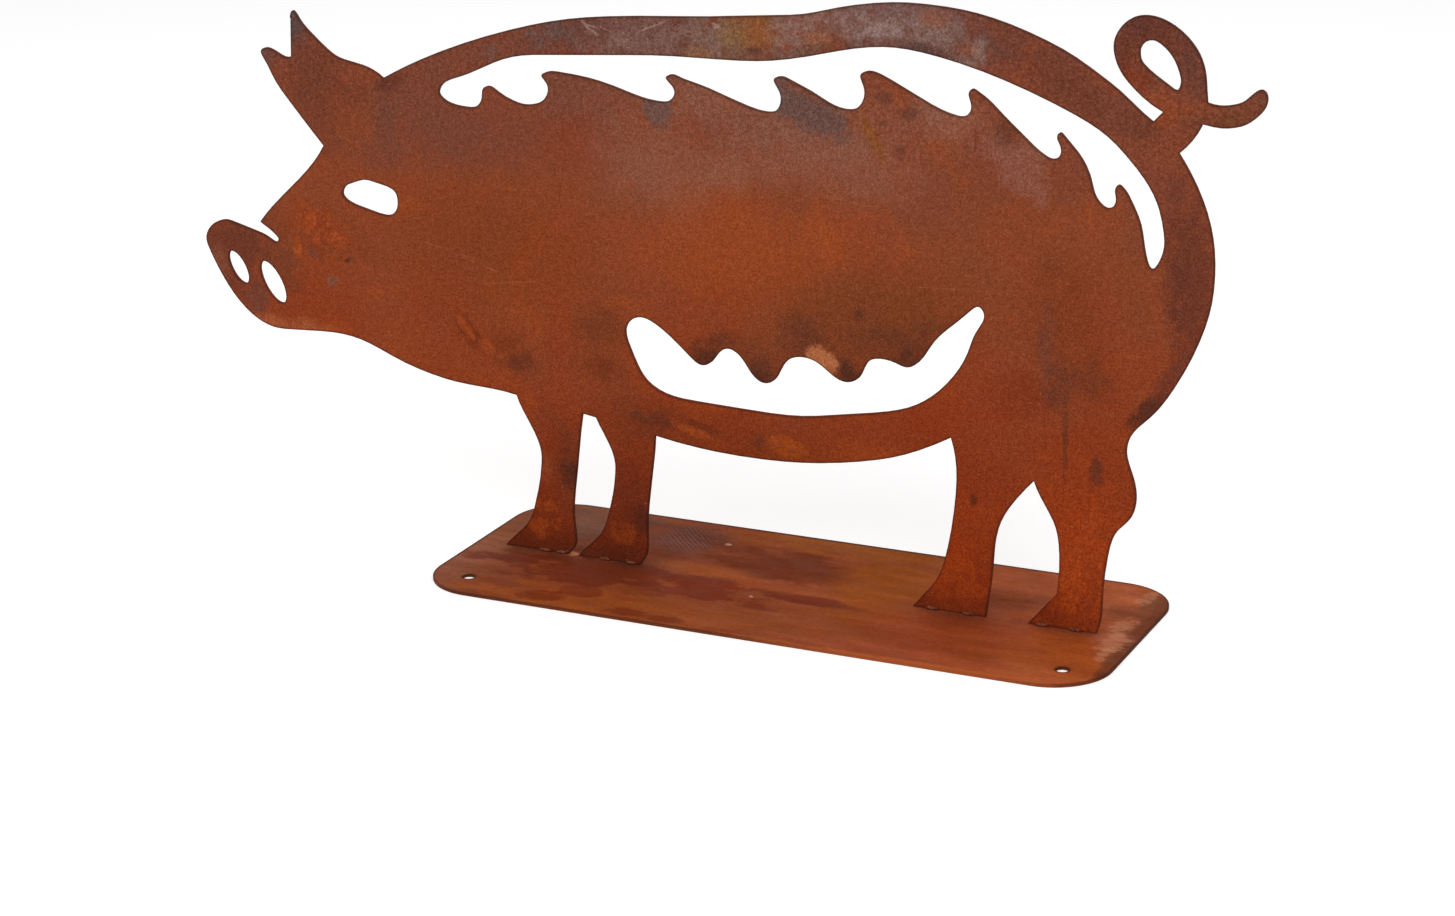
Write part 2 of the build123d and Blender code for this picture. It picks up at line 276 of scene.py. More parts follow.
def strip_marks(rust):
    """Purple brown back strip with grey scuffs, a tan and ochre patch and a grey right end."""
    rust.face_stain(-78, 276, 62, 12, PURPLE, 0.75, turn=-2, soft=0.3)
    rust.face_stain(52, 286, 56, 11, PURPLE, 0.7, turn=3, soft=0.3)
    rust.face_stain(-131, 273, 13, 7, SLATE, 0.65, turn=-14, ragged=0.6)
    rust.face_stain(-163, 260, 6, 3.5, SLATE, 0.45, turn=-20, ragged=0.6)
    rust.face_stain(-91, 282, 8, 4, tone(126, 92, 84), 0.45, soft=0.8)
    rust.face_stain(-101, 269, 10, 7, tone(128, 94, 82), 0.45, soft=0.8, ragged=0.5)
    rust.face_stain(-69, 274, 14, 13, tone(126, 94, 85), 0.6, soft=0.8, ragged=0.5)
    rust.face_stain(-42, 276, 13, 13, tone(126, 96, 84), 0.75, ragged=0.6)
    rust.face_stain(-48, 268, 6, 4.5, tone(136, 88, 54), 0.5, soft=0.6, ragged=0.8)
    rust.face_stain(-28, 278, 7, 8, tone(124, 96, 68), 0.6, soft=0.6, ragged=0.7)
    rust.face_stain(-18, 281, 13, 8.5, tone(136, 88, 50), 0.6, soft=0.9, ragged=0.5)
    rust.face_stain(-15, 279, 6, 6, tone(150, 84, 42), 0.35, soft=0.9, ragged=0.7)
    rust.face_stain(-23, 268, 11, 4, tone(106, 78, 66), 0.6, soft=0.7)
    rust.face_stain(-17, 271, 3.5, 2.5, DARK, 0.65, ragged=0.8)
    rust.face_stain(-6, 270, 9, 4.5, tone(106, 80, 70), 0.6, soft=0.8)
    rust.face_stain(1, 280, 8, 8, tone(138, 112, 104), 0.55, soft=0.9, ragged=0.7)
    rust.face_stain(13, 289, 13, 9, tone(142, 104, 92), 0.65, soft=0.8, ragged=0.5)
    rust.face_stain(18, 280, 9, 4, tone(150, 90, 56), 0.5, soft=0.7, ragged=0.7)
    rust.face_stain(14, 275, 12, 2.5, tone(102, 72, 58), 0.65, turn=-12, ragged=0.6)
    rust.face_stain(48, 287, 15, 7, tone(148, 122, 116), 0.7, turn=3, soft=0.9, ragged=0.6)
    rust.face_stain(76, 287, 17, 7, tone(132, 106, 98), 0.65, turn=12, soft=0.9, ragged=0.6)
    rust.face_stain(55, 298, 28, 4.5, tone(118, 93, 90), 0.75, soft=0.8, ragged=0.4)
    rust.face_stain(74, 294, 6, 4, tone(140, 80, 50), 0.55, soft=0.7, ragged=0.8)
    rust.face_stain(70, 278, 16, 3, tone(82, 56, 50), 0.75, turn=12, soft=0.6, ragged=0.6)
    rust.face_stain(90, 278, 8, 5, tone(124, 96, 88), 0.45, soft=0.8, ragged=0.6)
    rust.face_stain(90, 281, 5.5, 3.5, tone(150, 84, 46), 0.5, soft=0.6, ragged=0.6)
    rust.face_stain(96, 281, 2.4, 6, tone(140, 116, 110), 0.4, turn=-15, soft=0.7, ragged=0.6)
    rust.face_stain(92, 274, 4, 1.6, tone(134, 108, 102), 0.4, turn=30, soft=0.7, ragged=0.6)
    rust.face_stain(-89, 272, 6, 3.6, tone(136, 102, 90), 0.45, soft=0.7, ragged=0.5)
    rust.face_stain(34, 288, 6, 5, tone(142, 114, 106), 0.2, soft=0.9, ragged=0.7)
    # Pale veins on the strip: x, z, half length, half width and turn.
    for x, z, wide, high, turn in (
            (-108, 278, 3.5, 0.7, 48), (-103, 274.5, 4, 0.6, 30), (-104, 277.5, 3, 0.5, 12),
            (-98, 277, 3, 0.5, 20), (-38, 283, 2.4, 1.4, 20)):
        rust.face_stain(x, z, wide, high, tone(162, 132, 122), 0.45, turn=turn, ragged=0.6)
    rust.face_stain(-70, 280.5, 8, 0.45, tone(180, 146, 128), 0.5, turn=-22, ragged=0.4)
    rust.face_stain(138, 268, 24, 9, tone(102, 54, 38), 0.6, turn=32, soft=0.8)
    rust.face_stain(182, 289, 16, 5, tone(94, 42, 22), 0.4, soft=0.8)


def bristle_marks(rust):
    """Slate patches with paler halos under the bristles, an ochre run and dark drops."""
    rust.face_stain(-72, 212, 30, 18, MIST, 0.45, soft=0.8)
    rust.face_stain(-10, 243, 95, 13, tone(132, 88, 72), 0.35, soft=0.9)
    rust.face_stain(-45, 249, 14, 8, MIST, 0.4, soft=0.8)
    rust.face_stain(80, 248, 14, 9, MIST, 0.55, soft=0.8)
    rust.face_stain(122, 236, 8, 6, MIST, 0.5, soft=0.8)
    rust.face_stain(18, 224, 40, 16, MIST, 0.5, turn=10, soft=0.8)
    rust.face_stain(-70, 240, 8, 10, SLATE, 0.8, soft=0.3, ragged=0.15)
    rust.face_stain(11, 244, 21, 9.5, tone(100, 72, 66), 0.9, turn=20, soft=0.35, ragged=0.25)
    rust.face_stain(-3, 253, 5, 8, SLATE, 0.8, turn=-20)
    rust.face_stain(43, 235, 3, 12, tone(130, 76, 34), 0.8, turn=-28, ragged=0.4)
    rust.face_stain(62, 248, 5, 3, DARK, 0.45, ragged=0.6)
    rust.face_stain(49, 254, 4, 2.5, DARK, 0.4, ragged=0.6)
    rust.face_stain(48, 241, 2.5, 2, DARK, 0.4, ragged=0.6)
    rust.face_stain(57, 229, 2.5, 3.5, DARK, 0.5, ragged=0.5)
    rust.face_stain(115, 226, 9, 19, tone(136, 84, 68), 0.7, turn=-50, soft=0.35)
    rust.face_stain(111, 243, 6, 7, DARK, 0.4, ragged=0.5)


def belly_marks(rust):
    """Chest scale, dark teat tips, one pale flake, dark runs under the belly strip, and painted shadows round
    two flakes of scale.
    """
    # A painted shadow below the largest chest flake, then orange on the flakes.
    rust.face_stain(-180, 115, 4, 10, tone(96, 40, 22), 0.6, turn=-38, ragged=0.6)
    rust.face_stain(-182, 117, 2.4, 7, ORANGE, 0.4, turn=-38, ragged=0.5)
    rust.face_stain(-170, 108, 3, 4, ORANGE, 0.4, turn=-45, ragged=0.5)
    rust.face_stain(-151, 100, 8, 5.5, tone(84, 44, 30), 0.5, soft=0.8, ragged=0.5)
    rust.face_stain(44, 146, 52, 22, tone(110, 58, 30), 0.6, turn=-8, soft=0.8)
    rust.face_stain(57, 136, 26, 9, DARK, 0.35, turn=-15, soft=0.8)
    rust.face_stain(7, 132, 12, 10, DARK, 0.4, soft=0.8)
    rust.face_stain(36, 147, 4, 3, DARK, 0.5, ragged=0.7)
    for x, z in ((-48, 115), (-15, 110), (31, 115), (64, 126)):
        rust.face_stain(x, z, 8.5, 7.5, tone(60, 38, 30), 0.75, soft=0.7)
    rust.face_stain(-38, 126, 9, 4, SOOT_AND_SHADE, 0.4, turn=-20, soft=0.8)
    rust.face_stain(-20, 120, 18, 8, tone(92, 52, 34), 0.45, soft=0.8)
    rust.face_stain(16, 121.5, 8.5, 6.4, tone(176, 106, 68), 0.85, turn=36, soft=0.2, ragged=0.25)
    rust.face_stain(-80, 78, 26, 10, tone(100, 48, 28), 0.5, soft=0.8)
    rust.face_stain(36, 75, 20, 7, tone(156, 68, 28), 0.5, soft=0.8)
    rust.face_stain(-75, 81, 11, 3.5, DARK, 0.4, turn=8, ragged=0.6)
    # A painted shadow round the left belly flake, then its orange.
    rust.face_stain(-50, 78, 11, 3.2, tone(88, 40, 24), 0.6, turn=10, ragged=0.6)
    rust.face_stain(-54, 77, 9, 2.2, tone(168, 76, 26), 0.9, turn=12, ragged=0.4)
    rust.face_stain(-3, 75, 11, 4.6, tone(168, 74, 16), 0.9, turn=13, ragged=0.4)
    rust.face_stain(-18, 76, 4, 3.5, DARK, 0.5, ragged=0.6)
    rust.face_stain(-10, 66, 40, 16, tone(112, 52, 24), 0.4, soft=0.9)


def rump_marks(rust):
    """Dark drip with its thin tail, a tear mark, a dark rim and redder hind legs."""
    rust.face_stain(140, 155, 18, 24, tone(110, 50, 26), 0.5, soft=0.8)
    rust.face_stain(119, 117, 14, 10, tone(112, 44, 22), 0.5, soft=0.8)
    rust.face_stain(153, 129, 10, 10, tone(100, 50, 32), 0.5, soft=0.8)
    rust.face_stain(138, 125, 6, 13, tone(86, 50, 38), 0.5, soft=0.7, ragged=0.4)
    rust.face_stain(131, 142, 4, 18, PURPLE, 0.35, soft=0.8)
    rust.face_stain(141, 97, 1.4, 19, DARK, 0.5, ragged=0.5)
    rust.face_stain(157, 84, 3, 6, DARK, 0.7, ragged=0.4)
    rust.face_stain(156, 78, 4, 3, DARK, 0.35, ragged=0.5)
    rust.face_stain(95, 61, 2, 3, SOOT_AND_SHADE, 0.7, ragged=0.4)
    rust.face_stain(181, 116, 12, 4.5, SOOT_AND_SHADE, 0.65, turn=-42, ragged=0.3)
    rust.face_stain(200, 180, 11, 43, tone(92, 48, 38), 0.7, turn=-4, soft=0.7)
    rust.face_stain(194, 172, 6, 14, tone(92, 48, 38), 0.5, soft=0.8)
    rust.face_stain(192, 132, 5, 15, tone(92, 48, 38), 0.6, turn=25, soft=0.8)
    rust.face_stain(176, 299, 14, 7, tone(82, 46, 38), 0.65, soft=0.8)
    rust.face_stain(165, 283, 5, 12, tone(88, 46, 34), 0.5, soft=0.8)
    rust.face_stain(198, 282, 6, 13, tone(94, 56, 48), 0.6, turn=-15, soft=0.8, ragged=0.5)
    rust.face_stain(171, 275, 6, 8, tone(116, 48, 26), 0.6, turn=-30, soft=0.8, ragged=0.5)
    rust.face_stain(176, 254, 9, 7, tone(92, 52, 40), 0.5, soft=0.8)
    rust.face_stain(185, 260, 7, 7, tone(142, 68, 34), 0.5, soft=0.8, ragged=0.5)
    rust.face_stain(203, 253, 8, 5, tone(98, 58, 42), 0.5, soft=0.8)
    rust.face_stain(218, 258, 9, 5, tone(104, 62, 36), 0.6, soft=0.8, ragged=0.4)
    rust.face_stain(85, 112, 20, 22, RED_RUST, 0.4, soft=0.8)
    rust.face_stain(84, 26, 30, 34, tone(156, 58, 18), 0.55, soft=0.8)
    rust.face_stain(146, 30, 26, 40, tone(164, 64, 22), 0.6, soft=0.8)


def leg_marks(rust):
    """Dark smudges, glowing orange cores, and dark soles that are partly a stain and partly painted shade
    where the feet meet the plate.
    """
    rust.face_stain(-125, 46, 4.5, 8, SOOT_AND_SHADE, 0.75, soft=0.7, ragged=0.5)
    rust.face_stain(-85, 26, 6, 7, SOOT_AND_SHADE, 0.55, soft=0.6, ragged=0.5)
    rust.face_stain(-126, 52, 8, 18, tone(94, 46, 30), 0.5, soft=0.8)
    rust.face_stain(-92, 42, 12, 22, tone(98, 44, 26), 0.5, soft=0.8)
    rust.face_stain(-142, 20, 8, 11, tone(132, 54, 22), 0.7, soft=0.7, ragged=0.5)
    rust.face_stain(-97, 20, 8, 7, tone(126, 50, 22), 0.35, soft=0.7, ragged=0.5)
    rust.face_stain(157, 8, 6, 8, tone(152, 62, 28), 0.4, soft=0.8)
    # Dark soles: partly a stain, partly painted shade where the feet meet the plate.
    for x, strength in ((-142, 0.2), (-96, 0.35), (82, 0.2), (143, 0.1)):
        rust.face_stain(x, 2, 24, 7, SOOT_AND_SHADE, strength, soft=0.9)
    for x, z, wide, high, strength in (
            (-142, 19, 8, 10, 0.25), (-95, 18, 6, 5, 0.2), (82, 22, 16, 14, 0.15), (143, 22, 13, 14, 0.2)):
        rust.face_stain(x, z, wide, high, tone(186, 84, 26), strength, soft=0.5, ragged=0.9)


def sheet_grain(rust):
    """Scratches, fine speckle, rougher flecks on the back and the hind leg, bright specks and dark pits."""
    for x, z, wide, turn in (
            (-187, 156, 17, 12), (-172, 151, 10, 16), (-157, 143, 14, -8), (80, 165, 13, -3)):
        rust.face_stain(x, z, wide, 0.35, TAN, 0.16, turn=turn, ragged=0.9)
    rust.speckle(rust.spread(rust.noise(1000, 3, 0.8), 0.3, 0.7), (0.13, 0.23, 0.31))
    rust.speckle(rust.spread(rust.noise(340, 4, 0.75), 0.3, 0.72), (0.065, 0.09, 0.13))
    hind_leg = rust.spot((150, FACE, 34), (32, FACE_DEPTH, 44), (0, 0, 0), 1, 0.8, 0.3)
    rougher = rust.combine(rust.spread(rust.height(), 0.62, 0.85), hind_leg, "MAXIMUM")
    rust.speckle(rust.spread(rust.noise(480, 3, 0.7), 0.32, 0.68), (0.09, 0.12, 0.14), rougher)
    rust.blend(rust.spread(rust.noise(520, 2, 0.6), 0.68, 0.75, 0, 0.55), TAN)
    rust.blend(rust.spread(rust.noise(560, 2, 0.6), 0.3, 0.22, 0, 0.35), SOOT_AND_SHADE)


def sheet_rust():
    """Warm speckled rust of the pig: browner on top, redder on the legs, with marks placed one by one."""
    rust = Rust("sheet_rust", (1, 200, 1))
    wander = rust.spread(rust.noise(14, 4, 0.6), 0.3, 0.7, -0.1, 0.1)
    height = rust.combine(rust.height(), wander, "ADD")
    rust.colour = rust.ramp(height, [
        (0.02, tone(112, 44, 20)), (0.12, tone(130, 51, 23)), (0.3, tone(136, 57, 27)),
        (0.45, tone(136, 63, 34)), (0.62, tone(134, 66, 39)), (0.8, tone(124, 65, 44)),
        (0.95, tone(114, 64, 49))])
    rust.blend(rust.spread(rust.noise(22, 5, 0.6, twist=0.6), 0.48, 0.75, 0, 0.45), BROWN)
    rust.blend(rust.spread(rust.noise(31, 5, 0.65, twist=0.8), 0.5, 0.78, 0, 0.4), ORANGE)
    head_marks(rust)
    neck_marks(rust)
    strip_marks(rust)
    bristle_marks(rust)
    belly_marks(rust)
    rump_marks(rust)
    leg_marks(rust)
    sheet_grain(rust)
    # Dark edges: partly burnt scale, partly painted shade on the cut walls and rims.
    rust.darken_edges(2, tone(40, 25, 21), 0.7)
    return rust.finish(0.72, 0.92, 0.04, 0.25, 700)


def plate_left_marks(rust):
    """Greyer, paler left end and a grey patch between the legs, both a painted sheen, then dark drifts
    between the feet and the ochre front strip.
    """
    # Painted sheen: the left end greyer and paler, and a grey patch between the legs.
    rust.top_stain(-172, 10, 24, 90, tone(122, 74, 50), 0.75, soft=0.6)
    rust.top_stain(-177, -36, 15, 34, tone(140, 84, 63), 0.65, soft=0.8)
    rust.top_stain(-132, 46, 34, 26, tone(112, 76, 60), 0.85, soft=0.6)
    rust.top_stain(-101, -18, 60, 24, tone(102, 42, 24), 0.85, soft=0.25, ragged=0.5)
    rust.top_stain(-14, 26, 43, 20, tone(102, 44, 20), 0.95, turn=-4, soft=0.25, ragged=0.3)
    rust.top_stain(-88, 48, 27, 24, tone(98, 58, 46), 0.7, soft=0.5)
    rust.top_stain(0, 61, 64, 11, tone(142, 76, 30), 0.85, soft=0.4, ragged=0.4)
    rust.top_stain(40, 20, 23, 62, tone(135, 66, 15), 0.9, turn=8, soft=0.6)
    rust.top_stain(-55, 6, 26, 7, tone(134, 68, 26), 0.6, soft=0.7)
    rust.top_stain(-75, -58, 84, 16, tone(142, 70, 26), 0.85, turn=-2, soft=0.3, ragged=0.5)
    rust.top_stain(-10, -50, 52, 18, tone(138, 68, 32), 0.7, soft=0.6)
    for x, y, wide, deep in ((-115, -57, 13, 7), (-60, -63, 24, 5), (-97, -42, 13, 11)):
        rust.top_stain(x, y, wide, deep, tone(112, 42, 19), 0.75, soft=0.25, ragged=0.5)
    rust.top_stain(-42, -20, 34, 11, tone(112, 42, 18), 0.85, turn=-8, soft=0.25, ragged=0.5)
    rust.top_stain(12, -13, 30, 5.5, tone(100, 36, 16), 0.85, turn=-2, soft=0.3, ragged=0.4)
    rust.top_stain(-8, -33, 12, 2.5, tone(100, 44, 26), 0.7, soft=0.4)


def plate_right_marks(rust):
    """Pinkish red brown right half, orange front corner, scuffed end with a darker rim."""
    rust.top_stain(126, 46, 54, 36, tone(170, 88, 52), 0.8, soft=0.6)
    rust.top_stain(110, -30, 62, 34, tone(140, 60, 28), 0.7, soft=0.6)
    rust.top_stain(102, 24, 20, 13, tone(102, 46, 22), 0.85, soft=0.7)
    rust.top_stain(92, -12, 26, 7, tone(112, 48, 24), 0.5, soft=0.7)
    rust.top_stain(152, -40, 24, 30, tone(158, 76, 28), 0.65, soft=0.6)
    rust.top_stain(163, 30, 12, 9, tone(108, 58, 40), 0.6, soft=0.6)
    rust.top_stain(187, 4, 15, 74, tone(104, 50, 28), 0.9, soft=0.15, ragged=0.15)
    rust.top_stain(173, 46, 8, 18, tone(108, 58, 36), 0.75, soft=0.4)
    rust.top_stain(148, -58, 17, 9, tone(172, 90, 48), 0.6, soft=0.8)
    rust.top_stain(92, -62, 66, 9, tone(160, 76, 46), 0.5, soft=0.8)
    rust.ragged = rust.noise(200, 5, 0.75, rust.mapped((0.7, 1, 30)))
    for x, y, wide, deep in ((166, 53, 4, 8), (167, 12, 5, 11), (170, -10, 6, 12), (171, -23, 3, 9)):
        rust.top_stain(x + 3, y - 3, wide, deep, tone(98, 62, 40), 0.5, turn=-4, soft=0.4, ragged=0.6)
        rust.top_stain(x, y, wide, deep, tone(182, 116, 84), 0.55, turn=-4, soft=0.4, ragged=0.75)


def plate_rub_and_shade_marks(rust):
    """Hatching behind the fore legs, painted shade round the soles, a tan smear and dark rings of painted
    shade round the holes.
    """
    hatch = rust.put("ShaderNodeTexWave", wave_profile="SIN")
    hatch.inputs["Scale"].default_value = 140
    hatch.inputs["Distortion"].default_value = 1.5
    hatch.inputs["Detail"].default_value = 2
    turned = rust.put("ShaderNodeMapping")
    turned.inputs["Rotation"].default_value = (0, 0, math.radians(-43))
    rust.join(rust.place, turned.inputs["Vector"])
    rust.join(turned.outputs["Vector"], hatch.inputs["Vector"])
    rust.top_stain(-76, 42, 17, 16, tone(88, 42, 30), 0.75, soft=0.7)
    inside = rust.spot((-80, 42, TOP), (13, 16, TOP_DEPTH), (0, 0, 0.3), 0.55, 0.6, 0.5)
    rust.blend(rust.combine(inside, hatch.outputs["Fac"], "MULTIPLY"), tone(122, 86, 76))
    # Painted shade round the soles of the four feet.
    for x in (-142, -98, 82, 142):
        rust.top_stain(x, -1, 26, 7, DARK, 0.4, soft=0.8)
    # Painted shade beside the trailing fore foot.
    rust.top_stain(-84, 18, 15, 10, tone(92, 46, 30), 0.5, soft=0.8)
    rust.top_stain(-128, 20, 12, 12, tone(84, 48, 38), 0.5, soft=0.8)
    rust.top_stain(-74, -34, 9, 4, tone(138, 68, 32), 0.6, soft=0.8)
    rust.top_stain(-126, 0, 4, 3, TAN, 0.6, ragged=0.6)
    # Dark rings of painted shade in the walls and round the rims of the two holes.
    for x in (LEFT_EDGE + HOLE_END_INSET, RIGHT_EDGE - HOLE_END_INSET):
        rust.top_stain(x, NEAR_EDGE + HOLE_NEAR_INSET, 3.8, 3.8, tone(58, 28, 20), 0.6, soft=0.25, ragged=0.1)


def plate_grain(rust):
    """Streaks along the plate and fine grain, three changes of tone, the dark edge band that is partly
    painted shade, then the dark and pale edge lines.
    """
    streaks = rust.noise(60, 5, 0.6, rust.mapped((0.35, 1.6, 1)), 0.4)
    rust.speckle(rust.spread(streaks, 0.35, 0.7), (0.06, 0.07, 0.08))
    rust.speckle(rust.spread(rust.noise(600, 3, 0.7), 0.3, 0.7), (0.05, 0.08, 0.1))
    rust.top_stain(108, 53, 14, 8, tone(122, 56, 28), 0.4, soft=0.8)
    rust.top_stain(-101, 49, 8, 5, tone(140, 62, 30), 0.45, soft=0.8)
    rust.top_stain(167, -5, 8, 8, tone(178, 106, 80), 0.4, soft=0.8)
    # Dark edges: partly burnt scale, partly painted shade on the cut walls and rims.
    rust.darken_edges(2.2, tone(50, 31, 26), 0.8)
    rust.top_stain(0, FAR_EDGE + 0.5, 230, 2.4, tone(60, 38, 31), 0.8, soft=0.3, ragged=0.15)
    rust.top_stain(LEFT_EDGE - 0.5, 0, 1.8, 62, tone(66, 44, 38), 0.7, soft=0.3, ragged=0.15)
    rust.top_stain(88, NEAR_EDGE, 74, 3.5, tone(178, 90, 46), 0.7, soft=0.6, ragged=0.3)


def plate_rust():
    """Smoother satin rust of the base plate, in broad soft drifts along its length."""
    rust = Rust("plate_rust", (0.6, 1, 30), 70)
    drift = rust.noise(9, 4, 0.55, twist=0.5)
    rust.colour = rust.ramp(drift, [
        (0.25, tone(116, 54, 32)), (0.45, tone(132, 62, 30)),
        (0.6, tone(138, 66, 32)), (0.8, tone(144, 72, 40))])
    plate_left_marks(rust)
    plate_right_marks(rust)
    plate_rub_and_shade_marks(rust)
    plate_grain(rust)
    return rust.finish(0.5, 0.72, 0.02, 0.1, 500)


def plain_rust(name, low, high, speck_and_glint, rough, scale):
    """Small-scale rust for beads, scale and spatter: two tones with grain and specks; on the weld beads the
    pale specks are painted highlights.
    """
    rust = Rust(name, (1, 1, 1))
    rust.colour = rust.ramp(rust.noise(scale, 5, 0.65, twist=0.5), [(0.35, low), (0.65, high)])
    rust.blend(rust.spread(rust.noise(900, 3, 0.7), 0.5, 0.72, 0, 0.5), speck_and_glint)
    return rust.finish(rough - 0.1, rough + 0.1, 0.1, 0.3, 900)


SHEET = sheet_rust()
PLATE = plate_rust()
# The weld beads' pale specks are painted highlights.
WELD = plain_rust("weld_rust_and_glint", tone(78, 37, 24), tone(122, 60, 38), tone(192, 138, 112), 0.55, 520)
SCALE = plain_rust("raised_scale", tone(136, 58, 25), tone(160, 74, 33), tone(104, 46, 24), 0.85, 420)
# The spatter's pale colour is a painted highlight.
SPATTER_GLINT = plain_rust("pale_spatter_glint", tone(158, 104, 82), tone(192, 148, 128), tone(136, 80, 56), 0.6, 500)


def dress(name, material):
    """Keeps a CAD node and gives it its rust."""
    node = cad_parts[name]
    node.data.materials.clear()
    node.data.materials.append(material)


dress("pig_profile", SHEET)
dress("base_plate", PLATE)


def new_piece(name, mesh, material):
    """Turns a mesh into a smooth piece of the body, with its rust."""
    for face in mesh.faces:
        face.smooth = True
    data = bpy.data.meshes.new(name)
    mesh.to_mesh(data)
    mesh.free()
    data.materials.append(material)
    piece = bpy.data.objects.new(name, data)
    bpy.context.scene.collection.objects.link(piece)
    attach(piece, "root")
    return piece


# Shares of the CAD weld that a bead takes up, and how uneven it is.
BEAD_LENGTH_SHARE = 0.86
BEAD_GIRTH_SHARE = 0.8
BEAD_SINK_SHARE = 0.25
RIPPLE_SHARE = 0.12
RIPPLE_TURNS = 9
LUMP_SHARE = 0.14
LUMP_SCALE = 2.2


def bead(name, seed):
    """A short rippled weld bead lying in the corner that its CAD solid fills."""
    low, high = (Vector(corner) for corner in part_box(name))
    middle = (low + high) / 2
    half = (high - low) / 2
    size = Vector((half.x * BEAD_LENGTH_SHARE, half.y * BEAD_GIRTH_SHARE, half.z * BEAD_GIRTH_SHARE))
    sink = Vector((0, half.y, -half.z)) * BEAD_SINK_SHARE
    mesh = bmesh.new()
    bmesh.ops.create_icosphere(mesh, subdivisions=4, radius=1)
    for vertex in mesh.verts:
        point = vertex.co.copy()
        ripple = 1 + RIPPLE_SHARE * math.cos(point.x * RIPPLE_TURNS + seed)
        lump = 1 + LUMP_SHARE * noise.noise(point * LUMP_SCALE + Vector((seed * 3.1, 0, 0)))
        shape = Vector((point.x, point.y * ripple, point.z * ripple)) * lump
        vertex.co = shape * size + middle + sink
        vertex.co.x = min(max(vertex.co.x, low.x), high.x)
    piece = new_piece(name + "_bead", mesh, WELD)
    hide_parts(name)


feet = ("leading_fore", "trailing_fore", "leading_hind", "trailing_hind")
for number, foot in enumerate(feet):
    for side in ("front", "back"):
        bead(f"{foot}_{side}_weld", number * 2 + (side == "back"))


RIGHT, BACK, UP = Vector((1, 0, 0)), Vector((0, 1, 0)), Vector((0, 0, 1))
# Scabs: rings and spokes of the lid, raggedness of the rim, then depth, rim height and thickness in mm.
RINGS = 6
SPOKES = 40
RIM_SHARE = 0.3
SCAB_SINK = 0.12
SCAB_RIM = 0.02
SCALE_THICK = 0.3
SPATTER_THICK = 0.6


def scab(mesh, seed, centre, across, normal, wide, high, thick, turn):
    """Adds a thin ragged scab to a mesh, on a flat face: a low crowned lid closed by a flat underside."""
    chance = random.Random(seed)
    turn = math.radians(turn)

    def corner(share, angle, lift):
        wobble = noise.noise(Vector((math.cos(angle) * 1.6, math.sin(angle) * 1.6, seed * 4.7)))
        wobble += 0.5 * noise.noise(Vector((math.cos(angle) * 4.5, math.sin(angle) * 4.5, seed * 2.3)))
        reach = share * (1 + RIM_SHARE * wobble)
        a = math.cos(angle) * reach * wide * MM
        b = math.sin(angle) * reach * high * MM
        a, b = a * math.cos(turn) - b * math.sin(turn), a * math.sin(turn) + b * math.cos(turn)
        return mesh.verts.new(centre + RIGHT * a + across * b + normal * lift * MM)

    top = corner(0, 0, thick * 0.8)
    angles = [math.tau * spoke / SPOKES for spoke in range(SPOKES)]
    layers = []
    for ring in range(1, RINGS + 1):
        share = ring / RINGS
        lift = thick * (1 - share ** 5)
        layers.append([corner(share, angle, lift * (0.75 + 0.35 * chance.random()) + SCAB_RIM)
                       for angle in angles])
    layers.append([corner(1, angle, -SCAB_SINK) for angle in angles])
    base = corner(0, 0, -SCAB_SINK)
    for spoke in range(SPOKES):
        after = (spoke + 1) % SPOKES
        mesh.faces.new((top, layers[0][spoke], layers[0][after]))
        for inner, outer in zip(layers, layers[1:]):
            mesh.faces.new((inner[spoke], outer[spoke], outer[after], inner[after]))
        mesh.faces.new((layers[-1][spoke], base, layers[-1][after]))


def scale_patch(name, first_seed, spots):
    """One patch of raised scale on the front of the sheet, from rows of x, z, width, height and turn."""
    mesh = bmesh.new()
    for seed, (x, z, wide, high, turn) in enumerate(spots, first_seed):
        scab(mesh, seed, Vector((x, FACE, z)) * MM, UP, -BACK, wide, high, SCALE_THICK, turn)
    bmesh.ops.recalc_face_normals(mesh, faces=mesh.faces)
    new_piece(name, mesh, SCALE)


# The band of scale on the cheek, in mm: its upper left end, length, half width and fall towards the jaw.
CHEEK_X = -279
CHEEK_Z = 167
CHEEK_LENGTH = 36
CHEEK_HALF_WIDTH = 6.5
CHEEK_FALL_SHARE = 0.36


def cheek_spots():
    """Small lumps strewn over the cheek in a band that falls towards the jaw, none touching another."""
    chance = random.Random(7)
    spots = [(-281, 150, 1.5, 2.6, 5), (-279, 144, 1.4, 1.6, 40)]
    for attempt in range(400):
        along, aside = chance.uniform(0, CHEEK_LENGTH), chance.gauss(0, 3.4)
        x = CHEEK_X + along * 0.95 + aside * 0.3
        z = CHEEK_Z - along * CHEEK_FALL_SHARE + aside
        size = chance.uniform(0.7, 1.5) * (1.15 - along / 90)
        clear = all(math.hypot(x - other[0], z - other[1]) > 1.25 * (size + max(other[2:4]))
                    for other in spots)
        if clear and abs(aside) < CHEEK_HALF_WIDTH:
            spots.append((x, z, size, size * chance.uniform(0.65, 0.95), chance.uniform(-40, 40)))
    return spots


